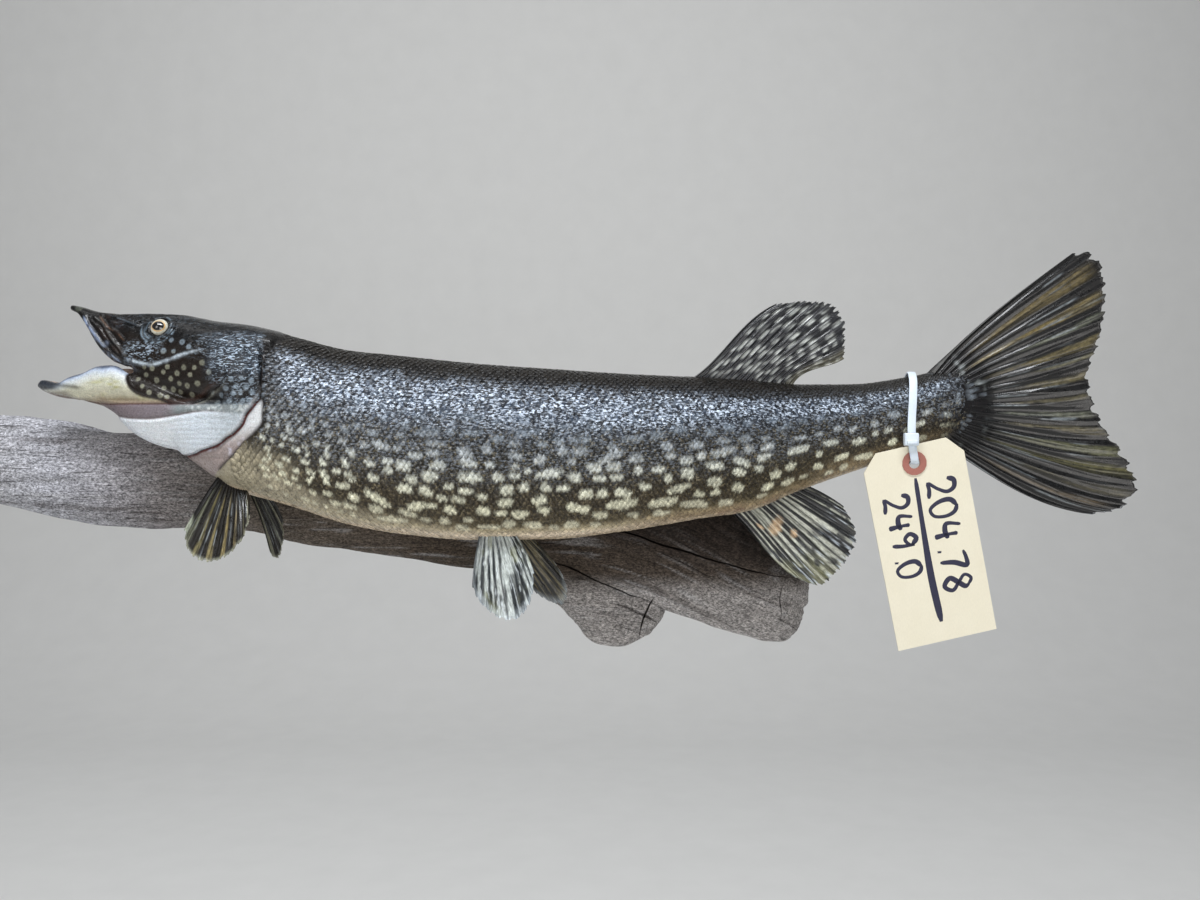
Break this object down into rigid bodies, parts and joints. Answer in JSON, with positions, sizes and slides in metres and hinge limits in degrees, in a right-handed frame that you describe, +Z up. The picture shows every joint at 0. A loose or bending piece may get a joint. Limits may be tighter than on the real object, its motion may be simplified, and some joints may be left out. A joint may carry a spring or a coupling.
{
  "type": "mounted northern pike on driftwood",
  "caption": "Life-size taxidermy northern pike with an open mouth, fixed along a length of driftwood that hangs flat on a wall, a card tag tied to its tail.",
  "frame": {"origin": "on the flat sawn back of the driftwood, behind the middle of the fish, where the mount lies against the wall", "axes": "+X runs from the snout to the tail, +Y runs into the wall and +Z is up; the fish shows its left side towards -Y"},
  "size_m": [0.7348, 0.1108, 0.2407],
  "materials": {
    "head": "dried fish skin, painted and varnished, near-black with small pale rings",
    "lower_jaw": "dried fish skin, painted and varnished, pale with a dark tip",
    "throat": "dried fish skin, painted and varnished, pinkish white",
    "gill_membrane": "dried gill membrane, painted white, with fine ray folds",
    "gill_cover_left": "dried fish skin, painted and varnished, near-black with small pale rings",
    "gill_cover_right": "dried fish skin, painted and varnished, near-black with small pale rings",
    "trunk": "scaled fish skin, painted and varnished, dark olive with cream spots",
    "tail_stem": "scaled fish skin, painted and varnished, dark olive with cream spots",
    "dorsal_fin": "dried fin, painted and varnished, dark with pale dashes",
    "anal_fin": "dried fin, painted and varnished, striped dark and cream",
    "tail_fin": "dried fin, painted and varnished, striped black and olive yellow",
    "pectoral_fin_left": "dried fin, painted and varnished, olive with dark stripes",
    "pectoral_fin_right": "dried fin, painted and varnished, olive with dark stripes",
    "pelvic_fin_left": "dried fin, painted and varnished, pale with dark stripes",
    "pelvic_fin_right": "dried fin, painted and varnished, olive with dark stripes",
    "eye_left": "glass eye, cream iris and black pupil, polished",
    "eye_right": "glass eye, cream iris and black pupil, polished",
    "driftwood": "weathered silver-grey driftwood, bare, back sawn flat",
    "screw_front": "zinc-plated steel",
    "screw_rear": "zinc-plated steel",
    "hanger_plate": "zinc-plated steel",
    "tag_card": "matt manila card",
    "tag_patch": "red-brown fibre reinforcing patch",
    "cable_tie": "white nylon"
  },
  "bodies": {
    "root": {"head": "head", "lower_jaw": "lower_jaw", "throat": "throat", "gill_membrane": "gill_membrane", "gill_cover_left": "gill_cover_left", "gill_cover_right": "gill_cover_right", "trunk": "trunk", "tail_stem": "tail_stem", "dorsal_fin": "dorsal_fin", "anal_fin": "anal_fin", "tail_fin": "tail_fin", "pectoral_fin_left": "pectoral_fin_left", "pectoral_fin_right": "pectoral_fin_right", "pelvic_fin_left": "pelvic_fin_left", "pelvic_fin_right": "pelvic_fin_right", "eye_left": "eye_left", "eye_right": "eye_right", "driftwood": "driftwood", "screw_front": "screw_front", "screw_rear": "screw_rear", "hanger_plate": "hanger_plate", "tag_card": "tag_card", "tag_patch": "tag_patch", "cable_tie": "cable_tie"}
  },
  "joints": []
}
